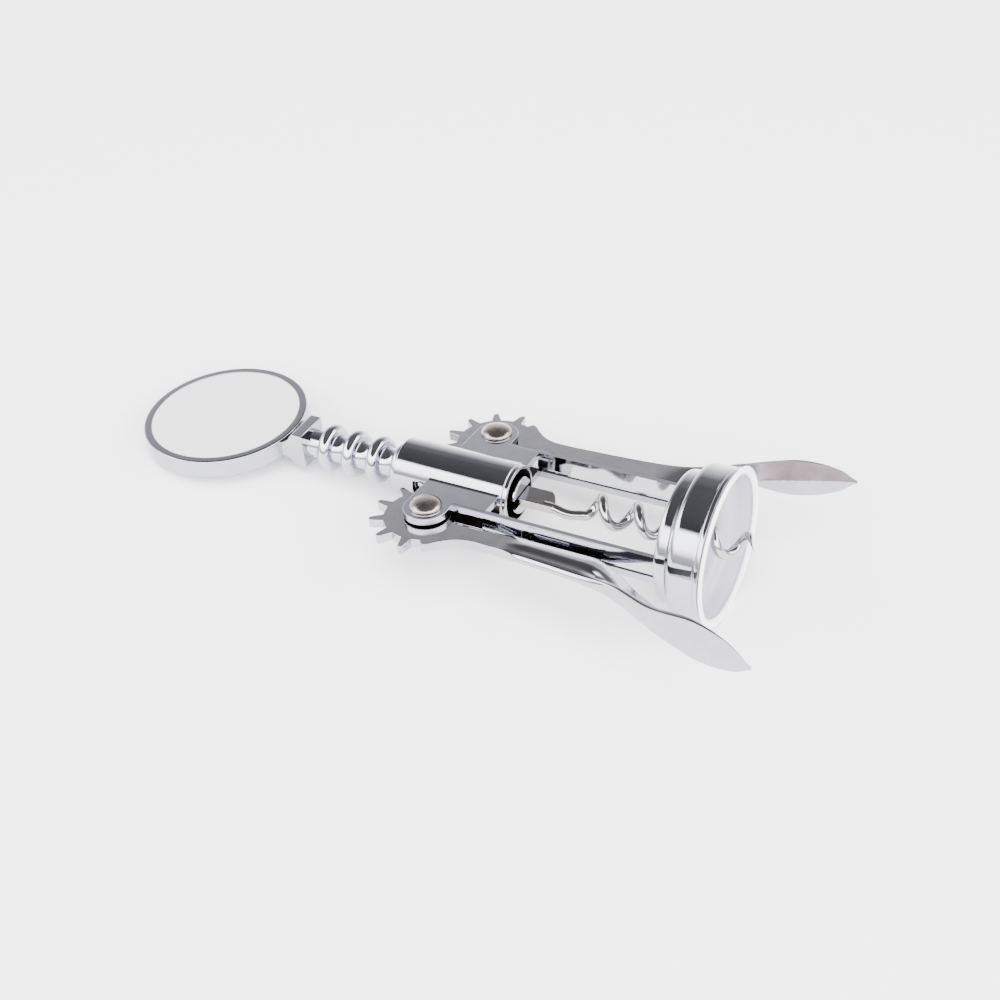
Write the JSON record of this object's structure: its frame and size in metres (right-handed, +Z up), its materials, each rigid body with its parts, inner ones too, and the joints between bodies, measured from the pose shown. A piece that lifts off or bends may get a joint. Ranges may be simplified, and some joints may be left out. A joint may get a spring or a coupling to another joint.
{
  "type": "lever corkscrew",
  "caption": "Wing corkscrew with a flat round handle, a ring rack, geared levers with leaf-shaped paddles, and a bell that fits over a bottle neck.",
  "frame": {"origin": "centre of the bounding box's lower face, on the floor the tool lies on", "axes": "+X along the tool from the handle to the bell, +Y towards the left lever, +Z up"},
  "size_m": [0.1714, 0.0708, 0.0358],
  "materials": {
    "handle_head": "mirror polished",
    "head_inlay": "satin light grey",
    "ring_rack": "polished",
    "spindle": "polished",
    "tang_pin": "nickel",
    "worm": "bright nickel",
    "frame": "mirror polished",
    "bell_liner": "glossy white",
    "left_rivet": "nickel",
    "right_rivet": "nickel",
    "left_lever": "mirror polished",
    "right_lever": "mirror polished"
  },
  "bodies": {
    "frame": {"frame": "frame", "bell_liner": "bell_liner", "left_rivet": "left_rivet", "right_rivet": "right_rivet"},
    "rack": {"ring_rack": "ring_rack"},
    "handle": {"handle_head": "handle_head", "head_inlay": "head_inlay", "spindle": "spindle", "tang_pin": "tang_pin", "worm": "worm"},
    "left_lever": {"left_lever": "left_lever"},
    "right_lever": {"right_lever": "right_lever"}
  },
  "joints": [
    {"name": "rack_slide", "type": "slide", "parent": "frame", "child": "rack", "axis": [0.9949, 0, 0.1011], "range_m": [0, 0.025]},
    {"name": "handle_spin", "type": "hinge", "parent": "rack", "child": "handle", "pos_m": [-0.03126, 0, 0.00784], "axis": [0.9949, 0, 0.1011], "continuous": true},
    {"name": "left_lever_pivot", "type": "hinge", "parent": "frame", "child": "left_lever", "pos_m": [0.0031, 0.01684, 0.00993], "axis": [-0.1007, 0.0819, 0.9915], "range_deg": [0, 116]},
    {"name": "right_lever_pivot", "type": "hinge", "parent": "frame", "child": "right_lever", "pos_m": [0.00282, -0.01684, 0.01269], "axis": [-0.1007, 0.0819, 0.9915], "range_deg": [-116, 0]}
  ],
  "couplings": [
    {"joint": "left_lever_pivot", "follows": "rack_slide", "rad_per_m": 80.645},
    {"joint": "right_lever_pivot", "follows": "rack_slide", "rad_per_m": -80.645}
  ]
}
